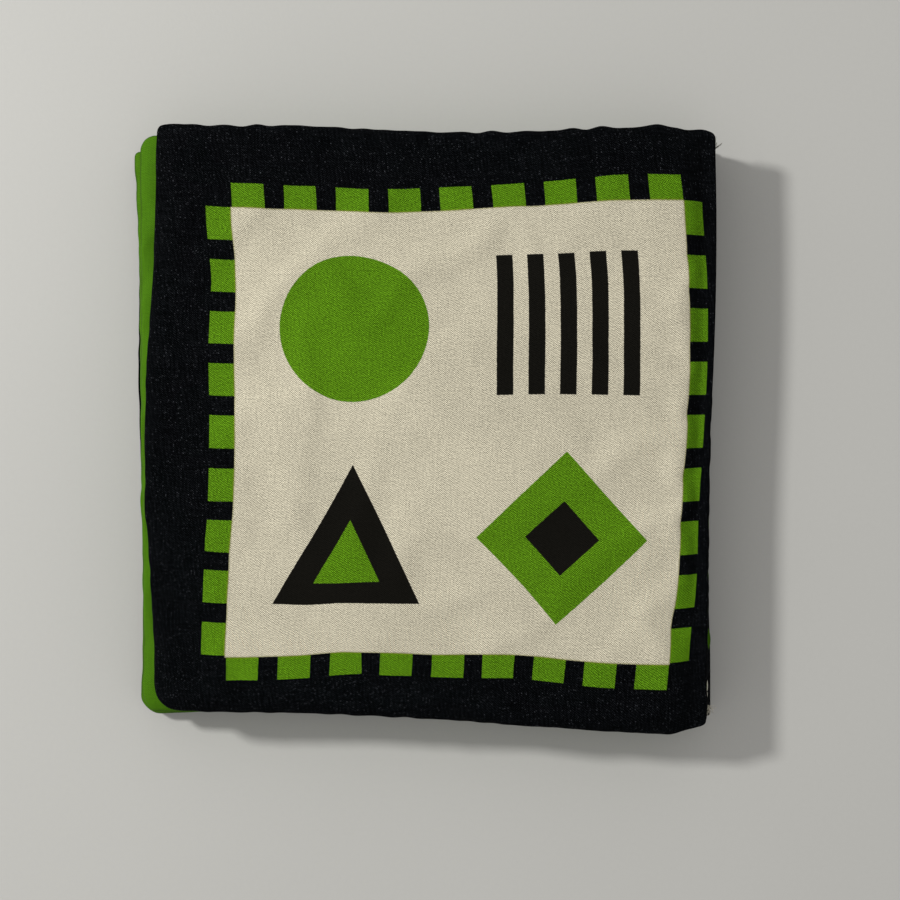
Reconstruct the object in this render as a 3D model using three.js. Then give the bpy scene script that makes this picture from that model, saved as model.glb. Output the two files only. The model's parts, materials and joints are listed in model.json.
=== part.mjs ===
import * as THREE from "three";

// A square soft book for babies, shut and lying on its back cover: three stuffed cloth leaves, each a
// pouch of two panels sewn edge to edge round a pad of wadding and a sheet of crinkling film.
// The leaves are sewn together at the spine, where the cover cloth goes round as the hinge.
// Millimetres, +Z up. +X points to the spine and +Y to the top edge of the cover.

// Materials in the hand
const clothThickness = 0.5;
const spineClothThickness = 0.7;
const filmThickness = 0.3;
const seamThreadRadius = 0.2;
const spineThreadRadius = 0.25;
// The clearance between one piece and the next
const seat = 0.3;

// The stuffed leaves
const leafThickness = 6;
const coverCrown = 1;
const backWidth = 129.8;
const innerWidth = 128.1;
const frontWidth = 123.7;
const backSpineHeight = 131;
const innerSpineHeight = 131;
const frontSpineHeight = 133;
const backFreeHeight = 128.6;
const innerFreeHeight = 128.8;
const frontFreeHeight = 129;
const freeCornerRadius = 6;
const spineCornerRadius = 2.5;

// Hand sewing leaves the leaves a little askew on the spine, and their free edges bowed
const innerSkewDegrees = 0.7;
const frontSkewDegrees = 1.3;
const backBow = 0.5;
const innerBow = 0.8;
const frontBow = 1.6;

// The flat seam round each pouch, and how far the padding takes to reach its full height
const freeFlange = 1;
const spineFlange = 3;
const freeTaper = 8;
const spineTaper = 12;
const taperShares = [0, 0.2, 0.52, 1];
const riseShares = [0, 0.5, 0.85, 1];
const threadTaperShare = 0.1;
const threadSides = 5;
const crownInsetShares = [0.5];
const crownShares = [0.75];

// The spine
const spineClothLength = 129;
const spineBow = 0.8;
const stitchTail = 2.2;
const stitchTailReach = 1.5;

// How finely the outline is stepped
const sideSteps = 6;
const cornerSteps = 3;
const spineThreadSteps = 24;
const spineThreadSides = 6;

const lipHalf = clothThickness + seat / 2;
const pitch = leafThickness + seat;
const seamEdge = spineClothThickness + seat;

// The three leaves, from the table up
const backCover = {
  level: 0,
  width: backWidth,
  spineHeight: backSpineHeight,
  freeHeight: backFreeHeight,
  skew: 0,
  bow: backBow,
};
const innerLeaf = {
  level: 1,
  width: innerWidth,
  spineHeight: innerSpineHeight,
  freeHeight: innerFreeHeight,
  skew: THREE.MathUtils.degToRad(innerSkewDegrees),
  bow: innerBow,
};
const frontCover = {
  level: 2,
  width: frontWidth,
  spineHeight: frontSpineHeight,
  freeHeight: frontFreeHeight,
  skew: THREE.MathUtils.degToRad(frontSkewDegrees),
  bow: frontBow,
};

function material(color, roughness) {
  return new THREE.MeshStandardMaterial({ color, roughness, metalness: 0 });
}
const coverCloth = material(0x14161a, 0.95);
const pageCloth = material(0x5a9a1e, 0.9);
const film = material(0xe6e9ec, 0.3);
const wadding = material(0xf4f2ec, 1);
const thread = material(0x1b1c20, 0.9);
const paleThread = material(0xd8d2c4, 0.9);

// One corner of a ring, as an arc about its own centre
function corner(centreX, centreY, radius, start) {
  const points = [];
  for (let i = 0; i <= cornerSteps; i += 1) {
    const angle = start + (i / cornerSteps) * (Math.PI / 2);
    points.push([centreX + radius * Math.cos(angle), centreY + radius * Math.sin(angle)]);
  }
  return points;
}

// A rounded rectangle, anticlockwise, with the same number of points whatever its size
function roundedRing(left, right, halfHeight, freeRadius, spineRadius) {
  const arcs = [
    corner(right - spineRadius, -halfHeight + spineRadius, spineRadius, -Math.PI / 2),
    corner(right - spineRadius, halfHeight - spineRadius, spineRadius, 0),
    corner(left + freeRadius, halfHeight - freeRadius, freeRadius, Math.PI / 2),
    corner(left + freeRadius, -halfHeight + freeRadius, freeRadius, Math.PI),
  ];
  const points = [];
  arcs.forEach((arc, side) => {
    const [endX, endY] = arc[arc.length - 1];
    const [nextX, nextY] = arcs[(side + 1) % arcs.length][0];
    points.push(...arc);
    for (let i = 1; i < sideSteps; i += 1) {
      const share = i / sideSteps;
      points.push([endX + share * (nextX - endX), endY + share * (nextY - endY)]);
    }
  });
  return points;
}

// The outline of a leaf drawn in by one amount at the spine and another at the three free edges.
// The height falls from the spine to the free edge, the free edge bows out, and the whole leaf is
// turned a little about the top of its spine edge.
function leafRing(leaf, spineInset, freeInset) {
  const radius = (full, inset) => Math.max(full - inset, full / 2);
  const halfHeight = leaf.spineHeight / 2;
  const ring = roundedRing(
    freeInset - leaf.width,
    -spineInset,
    halfHeight - freeInset,
    radius(freeCornerRadius, freeInset),
    radius(spineCornerRadius, spineInset),
  );
  return ring.map(([x, y]) => shaped(leaf, x, y));
}

function shaped(leaf, x, y) {
  const halfHeight = leaf.spineHeight / 2;
  const across = -x / leaf.width;
  const height = leaf.spineHeight + across * (leaf.freeHeight - leaf.spineHeight);
  const upShare = y / halfHeight;
  const bowedX = x - leaf.bow * across * (1 - upShare * upShare);
  const point = new THREE.Vector2(bowedX, (y * height) / leaf.spineHeight);
  const hub = new THREE.Vector2(0, halfHeight);
  point.rotateAround(hub, -leaf.skew);
  return [point.x - seamEdge, point.y];
}

// Where the padding has risen by the given share of its taper
function taperRing(leaf, share) {
  return leafRing(leaf, spineFlange + share * spineTaper, freeFlange + share * freeTaper);
}

// Half the thickness of a leaf there, for a share of the rise
function halfAt(riseShare) {
  return lipHalf + riseShare * (leafThickness / 2 - lipHalf);
}

// The rings of a pouch from its seam to the flat of its padding, and then on over the crown
function pouchRings(leaf, crown) {
  const rings = [{ points: leafRing(leaf, 0, 0), half: lipHalf, lift: 0 }];
  taperShares.forEach((share, i) => {
    rings.push({ points: taperRing(leaf, share), half: halfAt(riseShares[i]), lift: 0 });
  });
  if (crown > 0) {
    const flat = rings[rings.length - 1].points;
    const middle = centreOf(flat);
    crownInsetShares.forEach((inset, i) => {
      const points = flat.map(([x, y]) => [
        x + inset * (middle[0] - x),
        y + inset * (middle[1] - y),
      ]);
      rings.push({ points, half: halfAt(1), lift: crownShares[i] * crown });
    });
  }
  return rings;
}

function centreOf(points) {
  const sum = points.reduce(([a, b], [x, y]) => [a + x, b + y], [0, 0]);
  return [sum[0] / points.length, sum[1] / points.length];
}

function geometryOf(positions, triangles) {
  const geometry = new THREE.BufferGeometry();
  geometry.setAttribute("position", new THREE.Float32BufferAttribute(positions, 3));
  geometry.setIndex(triangles);
  geometry.computeVertexNormals();
  return geometry;
}

// A closed solid between an upper and a lower surface that share their rings, outermost first.
// Each ring is { points, top, bottom }, and the middle point closes both surfaces.
function layer(rings, middleTop, middleBottom) {
  const count = rings[0].points.length;
  const positions = [];
  for (const face of ["top", "bottom"]) {
    for (const ring of rings) {
      for (const [x, y] of ring.points) {
        positions.push(x, y, ring[face]);
      }
    }
  }
  const [middleX, middleY] = centreOf(rings[rings.length - 1].points);
  positions.push(middleX, middleY, middleTop, middleX, middleY, middleBottom);
  const topStart = 0;
  const bottomStart = rings.length * count;
  const topMiddle = 2 * bottomStart;
  const bottomMiddle = topMiddle + 1;
  const triangles = [];
  for (let i = 0; i < count; i += 1) {
    const next = (i + 1) % count;
    for (let ring = 0; ring + 1 < rings.length; ring += 1) {
      const outer = ring * count;
      const inner = outer + count;
      triangles.push(
        topStart + outer + i, topStart + outer + next, topStart + inner + next,
        topStart + outer + i, topStart + inner + next, topStart + inner + i,
        bottomStart + outer + next, bottomStart + outer + i, bottomStart + inner + i,
        bottomStart + outer + next, bottomStart + inner + i, bottomStart + inner + next,
      );
    }
    const last = (rings.length - 1) * count;
    triangles.push(
      topStart + last + i, topStart + last + next, topMiddle,
      bottomStart + last + next, bottomStart + last + i, bottomMiddle,
      bottomStart + i, bottomStart + next, topStart + next,
      bottomStart + i, topStart + next, topStart + i,
    );
  }
  return geometryOf(positions, triangles);
}

// A closed thread that follows a leaf's outline between the two panels of the pouch
function seamThreadGeometry(leaf) {
  const positions = [];
  const spineInset = spineFlange + threadTaperShare * spineTaper;
  const freeInset = freeFlange + threadTaperShare * freeTaper;
  let count = 0;
  for (let side = 0; side < threadSides; side += 1) {
    const angle = (side / threadSides) * 2 * Math.PI;
    const out = seamThreadRadius * Math.cos(angle);
    const points = leafRing(leaf, spineInset - out, freeInset - out);
    count = points.length;
    for (const [x, y] of points) {
      positions.push(x, y, seamThreadRadius * Math.sin(angle));
    }
  }
  const triangles = [];
  for (let side = 0; side < threadSides; side += 1) {
    const here = side * count;
    const above = ((side + 1) % threadSides) * count;
    for (let i = 0; i < count; i += 1) {
      const next = (i + 1) % count;
      triangles.push(here + i, here + next, above + next, here + i, above + next, above + i);
    }
  }
  return geometryOf(positions, triangles);
}

const book = new THREE.Group();

function place(parent, name, geometry, finish) {
  const mesh = new THREE.Mesh(geometry, finish);
  mesh.name = name;
  parent.add(mesh);
}

// One cloth panel of a pouch, above or below the seam
function panelGeometry(leaf, side, crown) {
  const rings = pouchRings(leaf, crown).map(({ points, half, lift }) => {
    const outside = side * (half + lift);
    const inside = outside - side * clothThickness;
    return { points, top: Math.max(outside, inside), bottom: Math.min(outside, inside) };
  });
  const outside = side * (halfAt(1) + crown);
  const inside = outside - side * clothThickness;
  return layer(rings, Math.max(outside, inside), Math.min(outside, inside));
}

// The film lies flat under the upper panel, as wide as the flat of the padding
const filmTop = leafThickness / 2 - clothThickness - seat;
const filmBottom = filmTop - filmThickness;
function filmGeometry(leaf) {
  const points = taperRing(leaf, 1);
  return layer([{ points, top: filmTop, bottom: filmBottom }], filmTop, filmBottom);
}

// The pad of wadding fills the pouch under the film, down to the lower panel
function waddingGeometry(leaf) {
  const ceiling = filmBottom - seat;
  const rings = taperShares.slice(1).map((share, i) => {
    const room = halfAt(riseShares[i + 1]) - clothThickness - seat;
    return { points: taperRing(leaf, share), top: Math.min(room, ceiling), bottom: -room };
  });
  const floor = rings[rings.length - 1].bottom;
  return layer(rings, ceiling, floor);
}

// A leaf stands in a group of its own at the height of its seam
function addLeaf(leaf, name, lower, upper, crown) {
  const group = new THREE.Group();
  group.position.z = leaf.level * pitch + leafThickness / 2;
  place(group, `${name}_${lower.name}`, panelGeometry(leaf, -1, 0), lower.finish);
  place(group, `${name}_wadding`, waddingGeometry(leaf), wadding);
  place(group, `${name}_crinkle_film`, filmGeometry(leaf), film);
  place(group, `${name}_${upper.name}`, panelGeometry(leaf, 1, crown), upper.finish);
  place(group, `${name}_seam_thread`, seamThreadGeometry(leaf), thread);
  book.add(group);
}

const outerPanel = { name: "outer_panel", finish: coverCloth };
const lining = { name: "lining", finish: pageCloth };
const lowerPage = { name: "lower_page", finish: pageCloth };
const upperPage = { name: "upper_page", finish: pageCloth };
addLeaf(backCover, "back_cover", outerPanel, lining, 0);
addLeaf(innerLeaf, "inner_leaf", lowerPage, upperPage, 0);
addLeaf(frontCover, "front_cover", lining, outerPanel, coverCrown);

// The cover cloth goes up the spine in two lengths, one for each fold of the hinge, and the stitching
// that holds the inner leaf lies in the groove between them. The cloth follows the seam edges of the
// leaves, which lean with their skew, and bows out between them.
const backSeam = leafThickness / 2;
const innerSeam = backSeam + pitch;
const frontSeam = innerSeam + pitch;
const grooveHalf = spineThreadRadius + seat;

// How far the seam edge of a leaf has drawn back from the hinge line at a height on the spine
function lean(leaf, y) {
  return -Math.tan(leaf.skew) * (leaf.spineHeight / 2 - y);
}

// A strip of cloth between two leaves. Each row has its height and how far its outer face stands out
// at the bottom and the top end of the spine.
function stripGeometry(rows) {
  const halfLength = spineClothLength / 2;
  const positions = [];
  for (const depth of [0, spineClothThickness]) {
    for (const row of rows) {
      positions.push(row.bottomEnd - depth, -halfLength, row.z);
      positions.push(row.topEnd - depth, halfLength, row.z);
    }
  }
  const inner = 2 * rows.length;
  const quad = (a, b, c, d) => [a, b, c, a, c, d];
  const triangles = [];
  for (let i = 0; i + 1 < rows.length; i += 1) {
    const low = 2 * i;
    const high = low + 2;
    triangles.push(
      ...quad(low, low + 1, high + 1, high),
      ...quad(inner + low + 1, inner + low, inner + high, inner + high + 1),
      ...quad(inner + low, low, high, inner + high),
      ...quad(low + 1, inner + low + 1, inner + high + 1, high + 1),
    );
  }
  const last = inner - 2;
  triangles.push(
    ...quad(inner, inner + 1, 1, 0),
    ...quad(last, last + 1, inner + last + 1, inner + last),
  );
  return geometryOf(positions, triangles);
}

function addSpineCloth(name, lower, upper, heights) {
  const halfLength = spineClothLength / 2;
  const row = (z, leaf, bow) => ({
    z,
    bottomEnd: lean(leaf, -halfLength) + bow,
    topEnd: lean(leaf, halfLength) + bow,
  });
  const [first, second, third, fourth] = heights;
  const low = row(second, lower, 0);
  const high = row(third, upper, 0);
  const waist = {
    z: (second + third) / 2,
    bottomEnd: (low.bottomEnd + high.bottomEnd) / 2 + spineBow,
    topEnd: (low.topEnd + high.topEnd) / 2 + spineBow,
  };
  const rows = [row(first, lower, 0), low, waist, high, row(fourth, upper, 0)];
  place(book, name, stripGeometry(rows), coverCloth);
}
addSpineCloth("spine_cloth_lower", backCover, innerLeaf, [
  backSeam - lipHalf,
  backSeam + lipHalf,
  innerSeam - lipHalf - grooveHalf,
  innerSeam - grooveHalf,
]);
addSpineCloth("spine_cloth_upper", innerLeaf, frontCover, [
  innerSeam + grooveHalf,
  innerSeam + lipHalf + grooveHalf,
  frontSeam - lipHalf,
  frontSeam + lipHalf,
]);

// The spine stitching: one run of thread with a loose tail left at each end
const stitchDepth = -spineClothThickness / 2;
const stitchEnd = spineClothLength / 2;
const tailStart = stitchEnd - stitchTail;
function stitchPoint(reach, along) {
  return new THREE.Vector3(reach + lean(innerLeaf, along), along, innerSeam);
}
const stitchRoute = new THREE.CurvePath();
stitchRoute.add(
  new THREE.QuadraticBezierCurve3(
    stitchPoint(stitchTailReach, stitchEnd),
    stitchPoint(stitchDepth, stitchEnd),
    stitchPoint(stitchDepth, tailStart),
  ),
);
stitchRoute.add(
  new THREE.LineCurve3(stitchPoint(stitchDepth, tailStart), stitchPoint(stitchDepth, -tailStart)),
);
stitchRoute.add(
  new THREE.QuadraticBezierCurve3(
    stitchPoint(stitchDepth, -tailStart),
    stitchPoint(stitchDepth, -stitchEnd),
    stitchPoint(stitchTailReach, -stitchEnd),
  ),
);
const stitchSection = new THREE.Shape();
for (let i = 0; i < spineThreadSides; i += 1) {
  const angle = (i / spineThreadSides) * 2 * Math.PI;
  const x = spineThreadRadius * Math.cos(angle);
  const y = spineThreadRadius * Math.sin(angle);
  if (i === 0) {
    stitchSection.moveTo(x, y);
  } else {
    stitchSection.lineTo(x, y);
  }
}
stitchSection.closePath();
const stitching = new THREE.ExtrudeGeometry(stitchSection, {
  steps: spineThreadSteps,
  bevelEnabled: false,
  extrudePath: stitchRoute,
});
place(book, "spine_stitching", stitching, paleThread);

// The origin is the middle of the face that the book lies on
const whole = new THREE.Box3().setFromObject(book);
const middle = whole.getCenter(new THREE.Vector3());
book.position.set(-middle.x, -middle.y, -whole.min.z);
const part = new THREE.Group();
part.add(book);

export default part;
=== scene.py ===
import json
import math

import bpy
import numpy as np
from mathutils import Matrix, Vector


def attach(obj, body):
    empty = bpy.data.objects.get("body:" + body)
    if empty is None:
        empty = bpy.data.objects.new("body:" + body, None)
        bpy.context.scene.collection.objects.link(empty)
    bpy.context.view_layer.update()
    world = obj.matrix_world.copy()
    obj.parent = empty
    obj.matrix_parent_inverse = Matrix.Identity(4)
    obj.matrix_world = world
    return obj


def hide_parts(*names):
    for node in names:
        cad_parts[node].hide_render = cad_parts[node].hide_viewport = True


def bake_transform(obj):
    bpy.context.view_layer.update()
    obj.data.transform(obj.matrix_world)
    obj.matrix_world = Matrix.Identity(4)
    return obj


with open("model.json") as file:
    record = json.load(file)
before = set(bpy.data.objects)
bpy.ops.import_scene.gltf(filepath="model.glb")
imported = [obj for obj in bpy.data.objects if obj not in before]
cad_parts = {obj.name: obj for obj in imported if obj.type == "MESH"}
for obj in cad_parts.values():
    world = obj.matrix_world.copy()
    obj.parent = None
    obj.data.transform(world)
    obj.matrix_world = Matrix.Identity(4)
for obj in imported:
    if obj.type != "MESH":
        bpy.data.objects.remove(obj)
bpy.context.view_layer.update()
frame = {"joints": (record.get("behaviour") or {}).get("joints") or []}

# The table, the light and the camera. The book lies shut on a pale grey table top, under soft light
# that comes mostly from the left, and is seen from straight above at arm's length.
mm = 0.001
camera_height = 420 * mm
camera_place = (5.2 * mm, -4.35 * mm, camera_height)
view_width_on_table = 207.4 * mm
table_half = 3.0
table_grey = (190, 189, 185)
lamp_side = (-1.04, 0.47, 1.0)
lamp_distance = 0.9
lamp_size = 0.11
lamp_level = 0.47
lamp_tint = (1.0, 1.0, 0.98)
room_level = 0.53
room_tint = (1.0, 0.995, 0.985, 1.0)
square_corners = [(-1, -1), (1, -1), (1, 1), (-1, 1)]


def in_scene(name, data):
    thing = bpy.data.objects.new(name, data)
    bpy.context.scene.collection.objects.link(thing)
    return thing


def mesh_in_scene(name, points, edges, faces):
    mesh = bpy.data.meshes.new(name)
    mesh.from_pydata(points, edges, faces)
    return in_scene(name, mesh)


def printed_colour(red, green, blue):
    """A colour from the 0 to 255 of a colour card, as Blender's linear numbers."""
    linear = []
    for value in (red, green, blue):
        share = value / 255
        linear.append(share / 12.92 if share <= 0.04045 else ((share + 0.055) / 1.055) ** 2.4)
    return (*linear, 1.0)


def feed(tree, socket, value):
    """Gives a node's input a plain value, or another node's output."""
    if isinstance(value, Measure):
        value = value.socket
    if isinstance(value, bpy.types.NodeSocket):
        tree.links.new(value, socket)
    else:
        socket.default_value = value


class Measure:
    """A number worked out at each point of a surface, by the Math nodes of its material."""

    def __init__(self, tree, socket):
        self.tree = tree
        self.socket = socket

    def work(self, operation, *others, clamp=False):
        node = self.tree.nodes.new("ShaderNodeMath")
        node.operation = operation
        node.use_clamp = clamp
        for number, value in enumerate((self, *others)):
            feed(self.tree, node.inputs[number], value)
        return Measure(self.tree, node.outputs[0])

    def __add__(self, other):
        return self.work("ADD", other)

    def __sub__(self, other):
        return self.work("SUBTRACT", other)

    def __mul__(self, other):
        return self.work("MULTIPLY", other)

    def size(self):
        return self.work("ABSOLUTE")

    def most(self, other):
        return self.work("MAXIMUM", other)

    def least(self, other):
        return self.work("MINIMUM", other)

    def opposite(self):
        return self * -1 + 1.0

    def wave(self, length):
        return (self * (2 * math.pi / length)).work("SINE")

    def every(self, pitch):
        """The distance from the middle of the nearest of the marks that repeat at this pitch."""
        return (self.work("FLOORED_MODULO", pitch) - pitch / 2).size()

    def below(self, limit, soft):
        """1 where the number is below the limit and 0 above it, with a soft step."""
        return (self * (-1 / soft)).work("ADD", limit / soft + 0.5, clamp=True)


def new_finish(name):
    """A new material, with its node tree and its shader."""
    finish = bpy.data.materials.new(name)
    finish.use_nodes = True
    tree = finish.node_tree
    return finish, tree, tree.nodes["Principled BSDF"]


def noise(tree, vector, scale, detail=2.0):
    node = tree.nodes.new("ShaderNodeTexNoise")
    for label, value in (("Scale", scale), ("Detail", detail), ("Vector", vector)):
        feed(tree, node.inputs[label], value)
    return Measure(tree, node.outputs["Fac"])


def shaded(tree, colour, level):
    """A colour made lighter or darker by a level that is 1 where it stays as it is."""
    node = tree.nodes.new("ShaderNodeVectorMath")
    node.operation = "SCALE"
    feed(tree, node.inputs[0], colour[:3] if isinstance(colour, tuple) else colour)
    feed(tree, node.inputs["Scale"], level)
    return node.outputs[0]


def raised(tree, shader, height, depth, strength=1.0):
    node = tree.nodes.new("ShaderNodeBump")
    node.inputs["Strength"].default_value = strength
    node.inputs["Distance"].default_value = depth
    feed(tree, node.inputs["Height"], height)
    tree.links.new(node.outputs["Normal"], shader.inputs["Normal"])


def surfaced(tree, shader, colour, roughness, gloss=0.5, fuzz=0.0):
    """Gives a finish its colour, and how rough, glossy and fuzzy it is."""
    tree.links.new(colour, shader.inputs["Base Color"])
    shader.inputs["Roughness"].default_value = roughness
    shader.inputs["Specular IOR Level"].default_value = gloss
    shader.inputs["Sheen Weight"].default_value = fuzz


def object_place(tree):
    return tree.nodes.new("ShaderNodeTexCoord").outputs["Object"]


table_finish, tree, shader = new_finish("pale_table_top")
place = object_place(tree)
cloudy = noise(tree, place, 9.0) * 0.06 + noise(tree, place, 900.0) * 0.03 + 0.955
surfaced(tree, shader, shaded(tree, printed_colour(*table_grey), cloudy), 0.55, gloss=0.25)
raised(tree, shader, noise(tree, place, 1400.0), 0.02 * mm)

table_points = [(x * table_half, y * table_half, 0) for x, y in square_corners]
table = mesh_in_scene("table_top", table_points, [], [(0, 1, 2, 3)])
table.data.materials.append(table_finish)

camera_data = bpy.data.cameras.new("camera")
camera_data.sensor_fit = "HORIZONTAL"
camera_data.angle = 2 * math.atan(view_width_on_table / 2 / camera_height)
camera_data.clip_start = 10 * mm
camera = in_scene("camera", camera_data)
camera.location = camera_place
bpy.context.scene.camera = camera

world = bpy.data.worlds.new("soft_room")
world.use_nodes = True
background = world.node_tree.nodes["Background"]
background.inputs["Color"].default_value = room_tint
background.inputs["Strength"].default_value = room_level
bpy.context.scene.world = world

toward_lamp = np.array(lamp_side) / np.linalg.norm(lamp_side)
lamp_data = bpy.data.lights.new("window", "AREA")
lamp_data.shape = "DISK"
lamp_data.size = lamp_size
lamp_data.energy = lamp_level * math.pi**2 * lamp_distance**2 / toward_lamp[2]
lamp_data.color = lamp_tint
lamp = in_scene("window", lamp_data)
lamp.location = toward_lamp * lamp_distance
lamp.rotation_mode = "QUATERNION"
lamp.rotation_quaternion = Vector(toward_lamp).to_track_quat("Z", "Y")
bpy.context.scene.view_settings.view_transform = "Standard"

# The back cover. Two square panels of thin polyester cloth, black outside and printed green inside, are
# sewn face to face, turned right side out and filled. It lies flat on the table and carries the rest.
hinge_x = frame["joints"][0]["pos_m"][0] / mm
leaf_shift_y = -0.4496
seam_edge = 0.35
leaf_thickness = 6.0
leaf_pitch = 6.3
half_leaf = leaf_thickness / 2
spine_flange = 3.65
free_taper = 8.5
spine_taper = 12.0
seam_half = 0.36
cloth_thickness = 0.34
print_unit = 100.0

back_leaf = {
    "name": "back_cover",
    "level": 0,
    "width": 130.45,
    "spine_height": 131.0,
    "free_height": 128.6,
    "skew": 0.0,
    "bow": 0.0,
    "corners": {"free_top": 1.6, "free_bottom": 5.0, "spine_top": 1.5, "spine_bottom": 2.5},
    "wander": {
        "free": (1.0, [-1.08, -0.29, 0.1, 0.17, 0.4, 0.63, 0.86, 0.86, 0.4]),
        "spine": (1.0, [0, 0, 0, 0, -0.1, -0.45, -0.45, 0.15, 0.2]),
        "bottom": (1.0, [0.1, 0.8, 0.85, 0.6, 0.2, 0, 0, 0, 0]),
    },
    "puckers": {"free": 0.07, "top": 0.12, "bottom": 0.08},
    "tucks": [],
    "wrinkle_depths": (0.8, 0.7),
    "seed": 11,
    "flat_cloth": (0.142, 0.143),
    "flat_film": (0.109, 0.114),
}


def smooth_row(shares, at):
    """A smooth line through evenly spaced values, read at a share of the way along."""
    values = np.array([shares[0], *shares, shares[-1]], float)
    steps = len(shares) - 1
    position = np.clip(at, 0, 1) * steps
    first = np.minimum(position.astype(int), steps - 1)
    t = position - first
    a, b, c, d = (values[first + k] for k in range(4))
    return b + 0.5 * t * (c - a + t * (2 * a - 5 * b + 4 * c - d + t * (3 * (b - c) + d - a)))


def fading(distance, reach):
    """1 at an edge, falling to 0 at some reach from it."""
    return np.clip(1 - distance / reach, 0, 1) ** 2


def nearby(at, place, reach, power=2):
    """1 at a place along an edge, falling off on both sides of it, and more squarely at a higher power."""
    return np.exp(-(((at - place) / reach) ** power))


def ripples(seed, at, shortest, longest, count=9):
    """Uneven waves along an edge, of lengths between two limits and about 1 high."""
    dice = np.random.default_rng(seed)
    total = np.zeros_like(at)
    for _ in range(count):
        length = dice.uniform(shortest, longest)
        total += np.sin(2 * math.pi * at / length + dice.uniform(0, 2 * math.pi))
    return total / math.sqrt(count)


def creases(seed, x, y, shortest, longest, count=14):
    """Uneven waves over a surface, in all directions."""
    dice = np.random.default_rng(seed)
    total = np.zeros_like(x)
    for _ in range(count):
        length = dice.uniform(shortest, longest)
        turn = dice.uniform(0, math.pi)
        start = dice.uniform(0, 2 * math.pi)
        total += np.sin(2 * math.pi * (x * math.cos(turn) + y * math.sin(turn)) / length + start)
    return total / math.sqrt(count)


def middle_height(leaf):
    """The height of the middle of a leaf's thickness in the shut book."""
    return half_leaf + leaf["level"] * leaf_pitch


def on_the_book(leaf, x, y):
    """From a leaf's own x, 0 at the spine and minus to the free edge, to its place on the shut book."""
    hub = leaf["spine_height"] / 2
    across = -x / leaf["width"]
    height = leaf["spine_height"] + across * (leaf["free_height"] - leaf["spine_height"])
    out = x - leaf["bow"] * across * (1 - (y / hub) ** 2)
    up = y * height / leaf["spine_height"] - hub
    turn = math.radians(leaf["skew"])
    placed_x = out * math.cos(turn) + up * math.sin(turn)
    placed_y = -out * math.sin(turn) + up * math.cos(turn) + hub
    return placed_x + hinge_x - seam_edge, placed_y + leaf_shift_y


def rounded(leaf, x, y):
    """Rounds the four corners of a leaf's square grid."""
    hub = leaf["spine_height"] / 2
    x, y = x.copy(), y.copy()
    for corner, radius in leaf["corners"].items():
        corner_x = -leaf["width"] if corner.startswith("free") else 0.0
        corner_y = hub if corner.endswith("top") else -hub
        side_x = -1 if corner_x < 0 else 1
        side_y = 1 if corner_y > 0 else -1
        p = np.clip(1 - np.abs(x - corner_x) / radius, 0, 1)
        q = np.clip(1 - np.abs(y - corner_y) / radius, 0, 1)
        near = (p > 0) & (q > 0)
        new_p = p * np.sqrt(1 - q**2 / 2)
        new_q = q * np.sqrt(1 - p**2 / 2)
        x[near] += (side_x * radius * (new_p - p))[near]
        y[near] += (side_y * radius * (new_q - q))[near]
    return x, y


def cloth_grid(leaf):
    """The grid that both panels of a leaf are made on: its own x and y, and the distance to each edge."""
    hub = leaf["spine_height"] / 2
    edge_steps = [0, 0.7, 1.6, 2.9]
    even_from = 4.4
    columns = 80
    rows = 82
    axes = []
    for start, end, count in ((-leaf["width"], 0, columns), (-hub, hub, rows)):
        even = np.linspace(start + even_from, end - even_from, count)
        first = [start + step for step in edge_steps]
        last = [end - step for step in edge_steps[::-1]]
        axes.append(np.array([*first, *even, *last]))
    grid_x, grid_y = np.meshgrid(*axes, indexing="ij")
    edges = {
        "free": grid_x + leaf["width"],
        "spine": -grid_x,
        "top": hub - grid_y,
        "bottom": grid_y + hub,
    }
    return grid_x, grid_y, edges


def swell(edges):
    """How full the padding is, from 0 at the seam to 1 in the middle of a leaf."""
    full = np.ones_like(edges["free"])
    for side, distance in edges.items():
        inset, taper = (spine_flange, spine_taper) if side == "spine" else (0.0, free_taper)
        share = np.clip((distance - inset) / taper, 0, 1)
        full = full * np.sqrt(1 - (1 - share) ** 2)
    return full


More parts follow.
